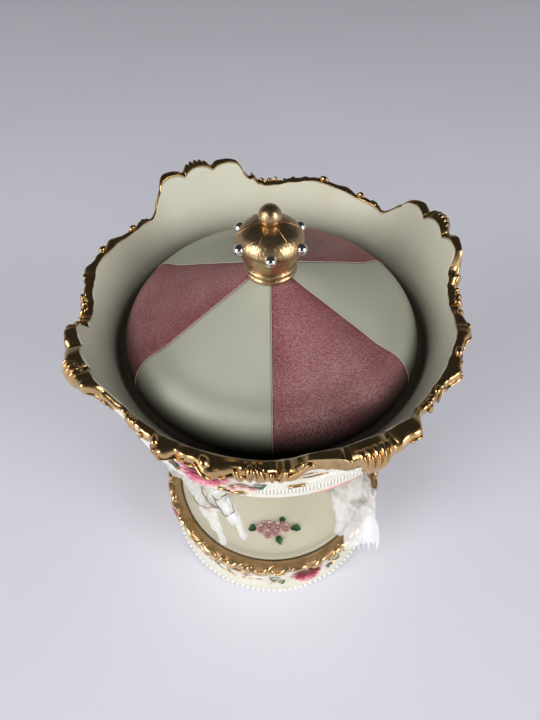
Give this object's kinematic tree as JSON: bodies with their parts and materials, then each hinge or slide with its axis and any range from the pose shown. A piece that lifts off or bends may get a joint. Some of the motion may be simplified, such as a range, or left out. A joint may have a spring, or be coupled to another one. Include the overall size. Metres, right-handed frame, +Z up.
{
  "type": "carousel_music_box",
  "caption": "Wind-up carousel music box with an ivory and rose domed canopy, gilt scalloped rim, crown finial, clear horses on poles and a round base with a key underneath.",
  "frame": {"origin": "centre of the resting face, on the turning axis", "axes": "+Z up along the turning axis, +X to the right seen from the front, +Y to the back"},
  "size_m": [0.1392, 0.1392, 0.2023],
  "materials": {
    "ivory_resin": "glossy cold-cast resin, ivory, gilt edges and painted flowers",
    "rose_ivory_resin": "glossy resin, dusty rose and ivory panels",
    "cream_resin": "glossy cream resin",
    "antique_gold": "antique gold over resin",
    "pearl": "silver-white pearl",
    "brass": "plain brass",
    "clear_acrylic": "clear polished acrylic",
    "steel": "plain steel",
    "black_plastic": "black moulded plastic",
    "felt": "dark green felt"
  },
  "bodies": {
    "base": {"base_shell": "ivory_resin", "felt_ring": "felt", "bottom_cover": "black_plastic", "cover_screws": "steel", "bedplate_screws": "steel", "bedplate": "brass", "bearing_bush": "brass", "thrust_washer": "black_plastic", "cylinder_brackets": "brass", "comb": "steel", "comb_base": "brass", "comb_screws": "steel", "governor_frame": "brass"},
    "carousel": {"drive_collar": "brass", "main_spindle": "steel", "spring_barrel": "brass", "barrel_lid": "brass", "mainspring": "steel", "platform_disc": "cream_resin", "column": "cream_resin", "ceiling_plate": "cream_resin", "pole_1": "brass", "pole_2": "brass", "pole_3": "brass", "pole_ferrules": "brass", "horse_1": "clear_acrylic", "horse_2": "clear_acrylic", "horse_3": "clear_acrylic", "canopy_band": "ivory_resin", "canopy_gallery": "ivory_resin", "roof_dome": "rose_ivory_resin", "crown_finial": "antique_gold", "crown_pearls": "pearl"},
    "key": {"winding_arbor": "steel", "clutch_spring": "steel", "winding_key": "brass"},
    "cylinder": {"cylinder_shaft": "steel", "cylinder_pinion": "brass", "governor_wheel": "brass", "pin_cylinder": "brass"},
    "fly": {"governor_fly": "black_plastic"}
  },
  "joints": [
    {"name": "carousel_spin", "type": "hinge", "parent": "base", "child": "carousel", "pos_m": [0, 0, 0.0284], "axis": [0, 0, 1], "continuous": true},
    {"name": "key_wind", "type": "hinge", "parent": "base", "child": "key", "pos_m": [0, 0, 0.009], "axis": [0, 0, 1], "range_deg": [0, 2430]},
    {"name": "cylinder_spin", "type": "hinge", "parent": "base", "child": "cylinder", "pos_m": [0.0296, 0, 0.0171], "axis": [1, 0, 0], "continuous": true},
    {"name": "fly_spin", "type": "hinge", "parent": "base", "child": "fly", "pos_m": [0.04, 0.0077, 0.0171], "axis": [0, 0, 1], "continuous": true}
  ],
  "couplings": [
    {"joint": "cylinder_spin", "follows": "carousel_spin", "ratio": 4},
    {"joint": "fly_spin", "follows": "carousel_spin", "ratio": -96}
  ]
}
